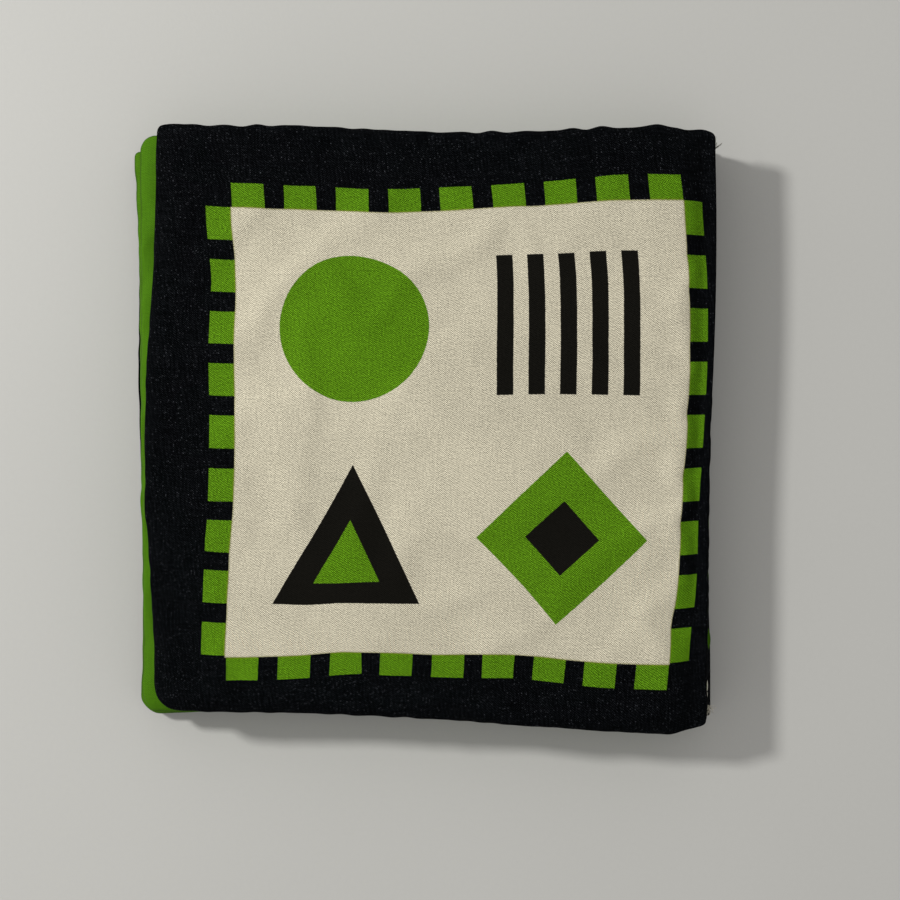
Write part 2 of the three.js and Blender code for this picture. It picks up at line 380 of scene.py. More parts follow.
def laid_out(leaf, grid_x, grid_y, edges, full):
    """Both panels of a leaf before they are filled: two grids of points, sewn together at their edges."""
    wander_reach = 20
    pucker_reach = 6
    pucker_waves = (4, 9)
    seam_wave_height = 0.3
    seam_waves = (16, 50)
    seam_wave_reach = 9
    seam_wave_start = 8
    lump_height = 0.12
    lump_waves = (9, 26)
    first_fill = 0.8
    hub = leaf["spine_height"] / 2
    x, y = rounded(leaf, grid_x, grid_y)
    along_x = -grid_x / leaf["width"]
    along_y = (hub - grid_y) / leaf["spine_height"]
    for side, (amount, shares) in leaf["wander"].items():
        if side in ("free", "spine"):
            x += amount * smooth_row(shares, along_y) * fading(edges[side], wander_reach)
        else:
            y += amount * smooth_row(shares, 1 - along_x) * fading(edges[side], wander_reach)
    seed = leaf["seed"]
    puckers = leaf["puckers"]
    x += puckers["free"] * ripples(seed, grid_y, *pucker_waves) * fading(edges["free"], pucker_reach)
    for number, side in enumerate(("top", "bottom"), 1):
        waves = ripples(seed + number, grid_x, *pucker_waves)
        y += puckers[side] * waves * fading(edges[side], pucker_reach)
    for tuck in leaf["tucks"]:
        share = nearby(grid_x, -tuck["from_spine"], tuck["reach"])
        y -= tuck["depth"] * share * fading(edges["top"], pucker_reach)
    place_x, place_y = on_the_book(leaf, x, y)
    around = grid_x + 2.3 * grid_y
    nearest = np.minimum.reduce([edges["free"], edges["top"], edges["bottom"]])
    seam_lift = seam_wave_height * ripples(seed + 3, around, *seam_waves) * fading(nearest, seam_wave_reach)
    seam_lift *= np.clip(edges["spine"] / seam_wave_start, 0, 1)
    start = first_fill * (half_leaf - seam_half)
    panels = []
    for side, lump_seed in ((1, seed + 4), (-1, seed + 5)):
        lumps = lump_height * full * creases(lump_seed, grid_x, grid_y, *lump_waves)
        height = seam_lift + side * seam_half + side * start * full + side * lumps
        panels.append(np.stack([place_x, place_y, height], -1))
    return panels


def rim_of(numbers):
    """The numbers of a grid's edge points in order, anticlockwise seen from above."""
    return [*numbers[:, 0], *numbers[-1, 1:], *numbers[-2::-1, -1], *numbers[0, -2:0:-1]]


def grid_faces(columns, rows, up=True):
    faces = []
    for i in range(columns - 1):
        for j in range(rows - 1):
            a = i * rows + j
            ring = (a, a + rows, a + rows + 1, a + 1)
            faces.append(ring if up else ring[::-1])
    return faces


def closed_faces(columns, rows):
    """The faces of a closed form between an upper grid and a lower one, numbered one after the other."""
    size = columns * rows
    quads = []
    for ring in grid_faces(columns, rows):
        quads.append(ring)
        quads.append([number + size for number in ring[::-1]])
    rim = [int(number) for number in rim_of(np.arange(size).reshape(columns, rows))]
    for here, there in zip(rim, [*rim[1:], rim[0]]):
        quads.append([here + size, there + size, there, here])
    return quads


def filled(upper, lower, edges, full):
    """Fills the pouch: cloth a little too big for its seam is pressed out by the padding, between the
    leaf above and the leaf below, and wrinkles as it goes."""
    sim_scale = 0.01
    frames = 24
    wall_half = 1.2
    touching = 0.001
    stretch_stiffness = 15
    slack_share = 0.02
    columns, rows = full.shape
    numbers = np.arange(columns * rows).reshape(columns, rows)
    lower_numbers = numbers + columns * rows
    points = np.concatenate([upper.reshape(-1, 3), lower.reshape(-1, 3)]) * sim_scale
    pouch = mesh_in_scene("unfilled_pouch", points.tolist(), [], closed_faces(columns, rows))
    sewn = (np.minimum.reduce(list(edges.values())) <= 0) | (edges["spine"] <= spine_flange)
    held = pouch.vertex_groups.new(name="sewn")
    held.add(numbers[sewn].tolist() + lower_numbers[sewn].tolist(), 1.0, "REPLACE")
    walls = []
    for side in (-1, 1):
        height = side * half_leaf * sim_scale
        wall_points = [(a * wall_half, b * wall_half, height) for a, b in square_corners]
        ring = (0, 1, 2, 3) if side < 0 else (3, 2, 1, 0)
        wall = mesh_in_scene("neighbour", wall_points, [], [ring])
        wall.modifiers.new("press", "COLLISION")
        wall.collision.thickness_outer = touching
        wall.collision.thickness_inner = touching
        walls.append(wall)
    cloth = pouch.modifiers.new("cloth", "CLOTH")
    settings = cloth.settings
    settings.quality = 6
    settings.mass = 0.3
    settings.tension_stiffness = stretch_stiffness
    settings.compression_stiffness = stretch_stiffness
    settings.shear_stiffness = stretch_stiffness
    settings.bending_stiffness = 30
    settings.use_pressure = True
    settings.uniform_pressure_force = 2.0
    settings.vertex_group_mass = "sewn"
    settings.shrink_min = -slack_share
    settings.shrink_max = -slack_share
    settings.effector_weights.gravity = 0
    cloth.collision_settings.distance_min = touching
    cloth.point_cache.frame_start = 1
    cloth.point_cache.frame_end = frames
    for number in range(1, frames + 1):
        bpy.context.scene.frame_set(number)
    result = bpy.data.meshes.new_from_object(pouch.evaluated_get(bpy.context.evaluated_depsgraph_get()))
    moved = np.zeros(len(result.vertices) * 3)
    result.vertices.foreach_get("co", moved)
    for thing in (pouch, *walls):
        bpy.data.objects.remove(thing)
    bpy.context.scene.frame_set(1)
    moved = moved.reshape(2, columns, rows, 3) / sim_scale
    return moved[0], moved[1]


def kept_full(grid, side, full, depth):
    """Keeps the wrinkles no deeper than the padding lets them be, and the leaf in its own thickness."""
    floor = seam_half + (half_leaf - seam_half) * full - depth
    height = side * grid[..., 2]
    soft = 0.2
    lifted = floor + soft * np.logaddexp(0, (height - floor) / soft)
    limited = np.minimum(lifted, half_leaf)
    inside = np.clip(full * 4 - 0.4, 0, 1)
    grid[..., 2] = side * (height * (1 - inside) + limited * inside)
    return grid


def sewn_leaf(leaf):
    """A leaf's grid and its two filled panels, as points round the middle of its thickness."""
    grid_x, grid_y, edges = cloth_grid(leaf)
    full = swell(edges)
    upper, lower = laid_out(leaf, grid_x, grid_y, edges, full)
    upper, lower = filled(upper, lower, edges, full)
    upper_depth, lower_depth = leaf["wrinkle_depths"]
    upper = kept_full(upper, 1, full, upper_depth)
    lower = kept_full(lower, -1, full, lower_depth)
    return grid_x, grid_y, edges, upper, lower


def new_piece(name, points, faces, finish, uv=None, smooth=True):
    """A piece of the book from points in millimetres, with a cloth map where its finish follows one."""
    piece = mesh_in_scene(name, (np.asarray(points) * mm).tolist(), [], faces)
    mesh = piece.data
    mesh.materials.append(finish)
    if uv is not None:
        layer = mesh.uv_layers.new(name="cloth")
        corners = np.zeros(len(mesh.loops), int)
        mesh.loops.foreach_get("vertex_index", corners)
        layer.data.foreach_set("uv", np.asarray(uv)[corners].ravel())
    mesh.polygons.foreach_set("use_smooth", [smooth] * len(mesh.polygons))
    mesh.update()
    return piece


def softened(piece):
    soft = piece.modifiers.new("soft", "SUBSURF")
    soft.levels = 1
    soft.render_levels = 1


def thickened(piece, thickness, offset=-1):
    thick = piece.modifiers.new("thick", "SOLIDIFY")
    thick.thickness = thickness * mm
    thick.offset = offset


def panel_piece(leaf, cloth, node, slot, up, grid, print_map, finish):
    """One cloth panel of a leaf, with the thickness of its cloth and its print map, on the leaf's body."""
    body = leaf["name"]
    points = grid.reshape(-1, 3) + np.array([0, 0, middle_height(leaf)])
    faces = grid_faces(*grid.shape[:2], up)
    piece = new_piece(f"{body}_{cloth}", points, faces, finish, print_map.reshape(-1, 2))
    softened(piece)
    thickened(piece, cloth_thickness)
    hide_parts(f"{body}_{node}")
    body + "_wadding_pad"
    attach(piece, body)


def plain_map(leaf, grid_x, grid_y):
    """Print coordinates of a panel with nothing pulled out of line: 0 in its middle."""
    middle = -leaf["width"] / 2
    return np.stack([(grid_x - middle) / print_unit, grid_y / print_unit], -1)


def mixed(tree, share, first, second):
    """One colour laid over another by a share from 0 to 1."""
    node = tree.nodes.new("ShaderNodeMix")
    node.data_type = "RGBA"
    for place, value in (("Factor", share), (6, first), (7, second)):
        feed(tree, node.inputs[place], value)
    return node.outputs[2]


def stretched_noise(tree, x, y, scale_x, scale_y):
    """Streaks: noise that is drawn out along one direction of the cloth."""
    joined = tree.nodes.new("ShaderNodeCombineXYZ")
    feed(tree, joined.inputs[0], x * scale_x)
    feed(tree, joined.inputs[1], y * scale_y)
    return noise(tree, joined.outputs[0], 1.0, 1.0) - 0.5


black_dye = (3, 4, 5)
# The grey of the painted glint on black cloth, a highlight mixed into its colour.
painted_glint_grey = (98, 102, 110)
lint_grey = (168, 172, 182)
leaf_green = (78, 119, 18)
# A darker green than the printed leaf_green, given to the page cloths.
page_green = (66, 109, 12)
# A darker green painted along the seam, as the shade where the cloth rolls over its edge.
painted_seam_shade = (58, 92, 15)
panel_cream = (194, 187, 166)
mark_black = (20, 19, 16)
black_weave = {"dye": black_dye, "gloss": 0.01, "contrast": 0.76, "glint": 0.05}
green_weave = {"dye": page_green, "gloss": 0.05, "contrast": 0.3, "glint": 0.0}
green_grain = 0.5
weave_pitch = 0.0046
weave_bend = 0.012
weave_depth = 0.03
slub_scales = (330.0, 16.0)
lint_scale = 270.0
lint_size = 0.32
lint_share = 0.11
ink_step = 0.0012
ink_raggedness = 0.0014


def woven_finish(name, inks, dye, gloss, contrast, glint):
    """Thin printed polyester: a fine weave with uneven threads, and inks laid on it in order. Where it is
    black, the bent threads carry a little painted glint, and hold some lint."""
    finish, tree, shader = new_finish(name)
    uv = tree.nodes.new("ShaderNodeUVMap")
    uv.uv_map = "cloth"
    cloth = uv.outputs[0]
    split = tree.nodes.new("ShaderNodeSeparateXYZ")
    tree.links.new(cloth, split.inputs[0])
    x = Measure(tree, split.outputs[0])
    y = Measure(tree, split.outputs[1])
    bent = (noise(tree, cloth, 14.0) - 0.5) * weave_bend
    over = (x + bent).wave(weave_pitch) * (y - bent).wave(weave_pitch * 0.97)
    twill = (x * 0.55 + y + bent).wave(weave_pitch * 1.08)
    patchy = noise(tree, cloth, 55.0) + 0.5
    uneven = noise(tree, cloth, 260.0) - 0.5
    weave = (over * 0.85 + twill * 0.35) * patchy + uneven * 1.9
    slubs = stretched_noise(tree, x, y, *slub_scales) + stretched_noise(tree, x, y, *slub_scales[::-1])
    # A broad random mottle in the cloth's tone; on the cover it also stands in for soft painted sheen and
    # shade.
    cloudy = noise(tree, cloth, 9.0, 3.0) + noise(tree, cloth, 2.6, 1.0) * 1.2 - 1.1
    colour = printed_colour(*dye)
    if glint > 0:
        # Painted glint: the black is lightened towards a grey highlight where the bent threads would catch
        # the light.
        lit = (weave * 1.1 + slubs * 1.5 - 0.2).most(0.0) * glint
        colour = mixed(tree, lit.least(1.0), colour, printed_colour(*painted_glint_grey))
        specks = tree.nodes.new("ShaderNodeTexVoronoi")
        specks.inputs["Scale"].default_value = lint_scale
        tree.links.new(cloth, specks.inputs["Vector"])
        pick = tree.nodes.new("ShaderNodeSeparateColor")
        tree.links.new(specks.outputs["Color"], pick.inputs[0])
        near = Measure(tree, specks.outputs["Distance"]).below(lint_size, 0.2)
        few = Measure(tree, pick.outputs[0]).below(lint_share, 0.12)
        colour = mixed(tree, near * few * glint * 1.7, colour, printed_colour(*lint_grey))
    if inks is not None:
        ragged = (noise(tree, cloth, 160.0, 1.0) - 0.5) * ink_raggedness
        grain = (weave * green_grain + 1.0).most(0.1)
        for share, ink in inks(x + ragged, y - ragged):
            inked = printed_colour(*ink)
            colour = mixed(tree, share, colour, shaded(tree, inked, grain) if ink == leaf_green else inked)
    level = (weave * contrast + slubs * 0.3 + cloudy * 0.2 + 1.0).most(0.2)
    surfaced(tree, shader, shaded(tree, colour, level), 0.75, gloss)
    raised(tree, shader, weave, weave_depth * mm, 0.5)
    return finish


def in_panel(x, y, half_x, half_y):
    return x.size().below(half_x, ink_step) * y.size().below(half_y, ink_step)


def from_middle(x, y):
    return (x * x + y * y).work("SQRT")


def green_page(x, y, leaf, marks):
    """Green page with a cream panel, black marks on it and, in the seam, a narrow rim of painted shade."""
    rim_width = 0.003
    away_x = x.size() - (leaf["width"] / 2 / print_unit - rim_width)
    away_y = y.size() - (leaf["spine_height"] / 2 / print_unit - rim_width)
    # The rim is painted shade along the seam, where the cloth rolls over its edge.
    rim = away_x.most(away_y).below(0.0, rim_width).opposite()
    return [(in_panel(x, y, 0.5, 0.5), panel_cream), *marks, (rim, painted_seam_shade)]


def dotted_page(x, y):
    """Dots in rows."""
    pitch = 0.1667
    radius = 0.045
    dots = from_middle(x.every(pitch), y.every(pitch)).below(radius, ink_step)
    return green_page(x, y, back_leaf, [(dots * in_panel(x, y, 0.495, 0.495), mark_black)])


border_depth_share = 0.056
border_row_share = 0.0515
border_lift = 0.0043
border_shift = 0.0034
border_pitch_share = 0.1154
border_length_share = 0.0718
border_end = 0.001


def square_border(x, y, half_x, half_y):
    """A frame of green oblongs, nine to a side, flush with the corners of the panel inside it."""
    gap_share = border_pitch_share - border_length_share
    marks = []
    rows = (x - border_shift, y, half_x, half_y, border_row_share)
    columns = (y - border_lift, x, half_y, half_x, border_depth_share)
    for along, away, half_along, half_away, depth_share in (rows, columns):
        unit = 2 * half_along
        depth = depth_share * 2 * half_away
        pitch = border_pitch_share * unit
        shifted = along + half_along + (gap_share * unit) / 2
        in_mark = shifted.every(pitch).below(border_length_share * unit / 2, ink_step)
        in_band = (away.size() - half_away - depth / 2).size().below(depth / 2, ink_step)
        in_side = along.size().below(half_along + border_end, ink_step)
        marks.append(in_mark * in_band * in_side)
    return marks[0].most(marks[1])


def back_print(x, y):
    """The frame of green oblongs round plain black, with one cream diamond in its middle."""
    diamond = x.size() + y.size()
    return [
        (square_border(x, y, 0.5, 0.5), leaf_green),
        (diamond.below(0.3, ink_step), panel_cream),
        (diamond.below(0.2, ink_step), leaf_green),
        (diamond.below(0.1, ink_step), mark_black),
    ]


rolled_depth = 0.45
rolled_middle = 12.0
rolled_reach = 20.0
peeping_place = -47.0
peeping_reach = 2.6
peeping_out = 0.85
lining_in = 0.7
back_x, back_y, back_edges, back_upper, back_lower = sewn_leaf(back_leaf)
rolled_edge = rolled_depth * nearby(back_y, rolled_middle, rolled_reach) * fading(back_edges["free"], 2.5)
back_lower[..., 0] -= rolled_edge
back_upper[..., 0] += 0.3 * rolled_edge
peeping = nearby(back_y, peeping_place, peeping_reach, 4)
back_upper[..., 0] += (peeping_out * peeping - lining_in) * fading(back_edges["spine"], 3)
back_map = plain_map(back_leaf, back_x, back_y)
black_cloth = woven_finish("black_cloth", back_print, **black_weave)
dotted_cloth = woven_finish("green_cloth_with_dots", dotted_page, **green_weave)
outer_panel = ("outer_cloth", "outer_panel", "cover_cloth")
lining_panel = ("lining_cloth", "lining", "page_cloth")
panel_piece(back_leaf, *outer_panel, False, back_lower, back_map, black_cloth)
panel_piece(back_leaf, *lining_panel, True, back_upper, back_map, dotted_cloth)

# What fills the back cover: a pad of white polyester wadding, and on it a sheet of thin film that
# crinkles when the leaf is pressed. The thread of the closing seam runs round inside the edge.
wadding_white = (240, 238, 232)
wadding_inset = 3.6
wadding_top_depth = 0.72
wadding_bottom_depth = 0.42
wadding_lump = 0.06
wadding_edge_share = 0.45
film_white = (226, 230, 235)
film_inset = 8.6
film_depth = 0.5
film_crease = 0.03
film_thickness = 0.05
seam_pitch = 2.5
seam_thickness = 0.36
seam_looseness = 0.06

wadding_finish, tree, shader = new_finish("white_wadding")
place = object_place(tree)
fluff = noise(tree, place, 260.0, 6.0)
level = fluff * 0.22 + noise(tree, place, 45.0) * 0.1 + 0.82
surfaced(tree, shader, shaded(tree, printed_colour(*wadding_white), level), 1.0, gloss=0.1, fuzz=0.4)
raised(tree, shader, fluff, 0.4 * mm)

film_finish, tree, shader = new_finish("crinkling_film")
folds = noise(tree, object_place(tree), 420.0, 3.0)
surfaced(tree, shader, shaded(tree, printed_colour(*film_white), folds * 0.1 + 0.92), 0.18)
shader.inputs["Transmission Weight"].default_value = 0.55
raised(tree, shader, folds, 0.08 * mm)


def thread_finish(name, dye):
    """Twisted polyester sewing thread."""
    finish, tree, shader = new_finish(name)
    place = object_place(tree)
    fibres = noise(tree, place, 5200.0)
    level = fibres * 0.5 + noise(tree, place, 320.0) * 0.2 + 0.65
    surfaced(tree, shader, shaded(tree, printed_colour(*dye), level), 0.7, gloss=0.25, fuzz=0.3)
    raised(tree, shader, fibres, 0.05 * mm)
    return finish


black_thread = thread_finish("black_thread", (26, 27, 31))


def within(edges, inset):
    """The columns and rows of a leaf's grid that lie inside an inset from its edges."""
    in_x = (edges["free"][:, 0] >= inset) & (edges["spine"][:, 0] >= inset + spine_flange)
    in_y = (edges["top"][0] >= inset) & (edges["bottom"][0] >= inset)
    return np.ix_(np.flatnonzero(in_x), np.flatnonzero(in_y))


def wadding_piece(leaf, edges, upper, lower):
    """A loft of fibre as big as the inside of its pouch, lumpy, and thinner at its edge."""
    part = within(edges, wadding_inset)
    top = upper[part].copy()
    bottom = lower[part].copy()
    lumps = creases(leaf["seed"] + 6, top[..., 0], top[..., 1], 4, 15)
    top[..., 2] -= wadding_top_depth + wadding_lump * (1 + np.tanh(lumps))
    bottom[..., 2] += wadding_bottom_depth + wadding_lump * (1 - np.tanh(lumps))
    middle = (top[..., 2] + bottom[..., 2]) / 2
    edge = np.ones(middle.shape)
    edge[1:-1, 1:-1] = 0
    for grid in (top, bottom):
        grid[..., 2] = middle + (grid[..., 2] - middle) * (1 - wadding_edge_share * edge)
        grid[..., 2] += middle_height(leaf)
    points = np.concatenate([top.reshape(-1, 3), bottom.reshape(-1, 3)])
    piece = new_piece(leaf["name"] + "_wadding_pad", points, closed_faces(*middle.shape), wadding_finish)
    softened(piece)
    return piece


def film_piece(leaf, edges, upper):
    """A thin flat-cut film, creased in sharp little facets, that lies under the upper panel."""
    sheet = upper[within(edges, film_inset)].copy()
    facets = creases(leaf["seed"] + 7, sheet[..., 0], sheet[..., 1], 3, 7)
    sheet[..., 2] -= film_depth + film_crease * np.tanh(2 * facets)
    sheet[..., 2] += middle_height(leaf)
    faces = grid_faces(*sheet.shape[:2])
    piece = new_piece(leaf["name"] + "_film_sheet", sheet.reshape(-1, 3), faces, film_finish, smooth=False)
    thickened(piece, film_thickness)
    return piece


def new_recipe(title, sockets, result):
    """An empty tree of geometry nodes with named inputs, and its two ends."""
    tree = bpy.data.node_groups.new(title, "GeometryNodeTree")
    inputs = {}
    for label, kind in sockets.items():
        socket = tree.interface.new_socket(label, in_out="INPUT", socket_type="NodeSocket" + kind)
        inputs[label] = socket.identifier
    tree.interface.new_socket(result, in_out="OUTPUT", socket_type="NodeSocketGeometry")
    return tree, inputs, tree.nodes.new("NodeGroupInput"), tree.nodes.new("NodeGroupOutput")


def chained(tree, *nodes):
    """Links the first output of each node to the first input of the next."""
    for first, second in zip(nodes, nodes[1:]):
        tree.links.new(first.outputs[0], second.inputs[0])


def stitch_recipe():
    """Geometry nodes that lay stitches end to end along a path, each a little out of line."""
    sizes = dict.fromkeys(("Pitch", "Length", "Thickness", "Looseness"), "Float")
    sockets = {"Path": "Geometry", **sizes, "Seed": "Int", "Thread": "Material"}
    tree, inputs, given, made = new_recipe("stitches_along_a_path", sockets, "Stitches")
    new = tree.nodes.new
    link = tree.links.new
    curve = new("GeometryNodeMeshToCurve")
    spaced = new("GeometryNodeResampleCurve")
    spaced.mode = "LENGTH"
    stitch = new("GeometryNodeMeshUVSphere")
    stitch.inputs["Segments"].default_value = 7
    stitch.inputs["Rings"].default_value = 6
    stitch.inputs["Radius"].default_value = 0.5
    placed = new("GeometryNodeInstanceOnPoints")
    tangent = new("GeometryNodeInputTangent")
    jitter = new("FunctionNodeRandomValue")
    jitter.data_type = "FLOAT_VECTOR"
    jitter.inputs[0].default_value = (-1, -1, -1)
    jitter.inputs[1].default_value = (1, 1, 1)
    loose = new("ShaderNodeVectorMath")
    loose.operation = "SCALE"
    lean = new("ShaderNodeVectorMath")
    aligned = new("FunctionNodeAlignRotationToVector")
    aligned.axis = "Z"
    size = new("ShaderNodeCombineXYZ")
    real = new("GeometryNodeRealizeInstances")
    finish = new("GeometryNodeSetMaterial")
    smooth = new("GeometryNodeSetShadeSmooth")
    chained(tree, given, curve, spaced, placed, real, smooth, finish, made)
    link(given.outputs["Pitch"], spaced.inputs["Length"])
    link(stitch.outputs["Mesh"], placed.inputs["Instance"])
    link(given.outputs["Seed"], jitter.inputs["Seed"])
    link(jitter.outputs[0], loose.inputs[0])
    link(given.outputs["Looseness"], loose.inputs["Scale"])
    link(tangent.outputs[0], lean.inputs[0])
    link(loose.outputs[0], lean.inputs[1])
    link(lean.outputs[0], aligned.inputs["Vector"])
    link(aligned.outputs[0], placed.inputs["Rotation"])
    for number, label in enumerate(("Thickness", "Thickness", "Length")):
        link(given.outputs[label], size.inputs[number])
    link(size.outputs[0], placed.inputs["Scale"])
    link(given.outputs["Thread"], finish.inputs["Material"])
    return tree, inputs


def thread_piece(name, node, slot, body, runs, closed, recipe, settings):
    """What a recipe of nodes makes along runs of points, as one plain mesh on its body."""
    points = []
    path_edges = []
    for run in runs:
        first = len(points)
        points.extend((np.asarray(run) * mm).tolist())
        path_edges.extend((k, k + 1) for k in range(first, len(points) - 1))
        if closed:
            path_edges.append((len(points) - 1, first))
    maker = mesh_in_scene(name + "_path", points, path_edges, [])
    nodes = maker.modifiers.new("nodes", "NODES")
    nodes.node_group, inputs = recipe
    for label, value in settings.items():
        nodes[inputs[label]] = value
    mesh = bpy.data.meshes.new_from_object(maker.evaluated_get(bpy.context.evaluated_depsgraph_get()))
    bpy.data.objects.remove(maker)
    mesh.name = name
    piece = in_scene(name, mesh)
    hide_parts(node)
    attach(piece, body)


stitches = stitch_recipe()


def stitch_settings(pitch, thickness, looseness, seed, thread):
    sizes = {"Pitch": pitch * mm, "Length": pitch * mm, "Thickness": thickness * mm}
    return {**sizes, "Looseness": looseness, "Seed": seed, "Thread": thread}


def inside_of(leaf, edges, upper, lower):
    """Wadding, film and closing seam of one leaf, each on the leaf's body. The seam is sewn two grid lines
    inside the edge, and beyond the flat of the spine."""
    name = leaf["name"]
    pad = wadding_piece(leaf, edges, upper, lower)
    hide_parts(name + "_wadding")
    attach(pad, name)
    film = film_piece(leaf, edges, upper)
    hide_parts(name + "_crinkle_film")
    name + "_wadding_pad"
    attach(film, name)
    middle = (upper + lower) / 2
    middle[..., 2] += middle_height(leaf)
    numbers = np.arange(middle[..., 0].size).reshape(middle.shape[:2])
    run = middle.reshape(-1, 3)[rim_of(numbers[2:-4, 2:-2])]
    seam = stitch_settings(seam_pitch, seam_thickness, seam_looseness, leaf["seed"], black_thread)
    thread_piece(name + "_seam_stitches", name + "_seam_thread", "thread", name, [run], True, stitches, seam)


inside_of(back_leaf, back_edges, back_upper, back_lower)

# The inner leaf. It is made like the back cover, of two printed green pages, and is sewn in a little
# askew, so that its free edge stands a few millimetres inside the back cover's.
inner_leaf = {
    **back_leaf,
    "name": "inner_leaf",
    "level": 1,
    "width": 128.75,
    "free_height": 128.8,
    "skew": 0.7,
    "corners": {"free_top": 3.2, "free_bottom": 5.0, "spine_top": 1.5, "spine_bottom": 2.5},
    "wander": {
        "free": (1.0, [-0.36, -0.04, 0.27, 0.46, 0.77, 1.2, 1.5, 1.81, 1.56]),
        "top": (1.0, [1.0, 0.5, 0, 0, 0, 0, 0, 0, 0]),
        "bottom": (1.0, [0, 0.5, 0.5, 0.45, 0.25, 0, 0, 0, 0]),
    },
    "wrinkle_depths": (0.8, 0.8),
    "seed": 23,
    "flat_cloth": (0.14, 0.143),
    "flat_film": (0.108, 0.114),
}


def striped_page(x, y):
    """Upright stripes."""
    pitch = 0.125
    half_stripe = 0.031
    stripes = x.every(pitch).below(half_stripe, ink_step) * in_panel(x, y, 0.4999, 0.44)
    return green_page(x, y, inner_leaf, [(stripes, mark_black)])


def chequered_page(x, y):
    """A chequer of black and green squares."""
    square = 0.16
    step = ink_step * math.pi / square
    odd_column = x.wave(2 * square).below(0.0, step)
    odd_row = y.wave(2 * square).below(0.0, step)
    odd = (odd_column - odd_row).size()
    field = in_panel(x, y, 3 * square - ink_step, 3 * square - ink_step)
    centre = in_panel(x, y, square - ink_step, square - ink_step)
    return green_page(x, y, inner_leaf, [(odd * field, mark_black), (odd.opposite() * centre, leaf_green)])


inner_x, inner_y, inner_edges, inner_upper, inner_lower = sewn_leaf(inner_leaf)
inner_map = plain_map(inner_leaf, inner_x, inner_y)
striped_cloth = woven_finish("green_cloth_with_stripes", striped_page, **green_weave)
chequered_cloth = woven_finish("green_cloth_with_chequers", chequered_page, **green_weave)
lower_page = ("lower_cloth", "lower_page", "page_cloth")
upper_page = ("upper_cloth", "upper_page", "page_cloth")
panel_piece(inner_leaf, *lower_page, False, inner_lower, inner_map, striped_cloth)
panel_piece(inner_leaf, *upper_page, True, inner_upper, inner_map, chequered_cloth)
inside_of(inner_leaf, inner_edges, inner_upper, inner_lower)

# The front cover. Its outer panel is black, printed with a cream panel in a frame of green oblongs. The
# cloth has pulled a little as it was sewn and filled, so neither the outline nor the print is straight.
cover_top_shares = [
    *(0.85, 0.72, 0.6, 0.61, 0.6, 0.44, 0.22, -0.03, -0.22),
    *(-0.21, -0.09, 0.12, 0.4, 0.74, 1.22, 0.6, -0.2),
]
cover_bottom_shares = [
    *(0.45, 0.35, 0.3, 0.46, 0.65, 0.76, 0.8, 0.74, 0.6),
    *(0.37, 0.1, -0.13, -0.35, -0.61, -0.75, -0.75, 1.5),
]
front_leaf = {
    "name": "front_cover",
    "level": 2,
    "width": 124.35,
    "spine_height": 133.0,
    "free_height": 129.0,
    "skew": 1.3,
    "bow": 1.6,
    "corners": {"free_top": 2.0, "free_bottom": 5.5, "spine_top": 0.8, "spine_bottom": 1.0},
    "wander": {
        "free": (2.0, [0.0, 0.37, 0.53, 0.3, 0.22, 0.42, 0.88, 1.27, 1.25]),
        "spine": (1.0, [-0.5, 0.1, 0.4, 0.3, -0.1, -0.25, -0.03, 0.15, 0.4]),
        "top": (1.5, cover_top_shares),
        "bottom": (1.0, cover_bottom_shares),
    },
    "puckers": {"free": 0.06, "top": 0.2, "bottom": 0.1},
    "tucks": [
        {"from_spine": 18.6, "depth": 1.0, "reach": 2.0},
        {"from_spine": 7.2, "depth": 0.4, "reach": 1.3},
        {"from_spine": 3.4, "depth": -0.6, "reach": 1.9},
    ],
    "wrinkle_depths": (0.8, 0.8),
    "seed": 37,
    "flat_cloth": (0.136, 0.145),
    "flat_film": (0.104, 0.116),
}
cover_crown = 1.0
crown_half_share = 0.92
panel_middle = (-57.0, -1.3)
panel_width = 98.6
panel_height = 102.1
panel_tilt = 0.022
panel_pull = 2.5
left_pull = ([-0.16, 0.78, 0.98, 1.3, 1.24, 0.67, 0.25], (0.114, -0.037))
right_pull = ([0.06, 0.58, 0.8, 0.76, 0.52, 0.36, -0.24], (0.12, -0.096))
top_pull = ([-0.05, -0.5, -0.88, -0.7, -0.38, 0.16, 0.1], (-0.068, -0.04))
bottom_pull = ([-0.08, 0.2, 0.84, 0.76, 0.78, 0.06, -0.12], (-0.068, 0.087))
drawn_in_at_spine = 0.28
fringe_brown = (128, 126, 42)


def pulled_edge(pull, at, length):
    """How far the sewing pulled one edge of the panel, and how its line leans past its two ends."""
    shares, past = pull
    beyond = past[0] * np.minimum(at, 0) + past[1] * np.maximum(at - 1, 0)
    return panel_pull * smooth_row(shares, at) + beyond * length


def pulled_map(grid_x, grid_y):
    """Print coordinates of the front: the panel's four edges lie where the sewing pulled them."""
    x = grid_x - panel_middle[0]
    y = grid_y - panel_middle[1] - panel_tilt * x
    share_x = x / panel_width + 0.5
    share_y = 0.5 - y / panel_height
    left = pulled_edge(left_pull, share_y, panel_height)
    right = pulled_edge(right_pull, share_y, panel_height)
    top = pulled_edge(top_pull, share_x, panel_width)
    bottom = pulled_edge(bottom_pull, share_x, panel_width)
    across = np.clip(share_x, 0, 1)
    upward = np.clip(1 - share_y, 0, 1)
    x = x - (left * (1 - across) + right * across)
    y = y - (bottom * (1 - upward) + top * upward)
    x = x + drawn_in_at_spine * np.clip(x - panel_width / 2, 0, None)
    return np.stack([x / panel_width, y / panel_height], -1)


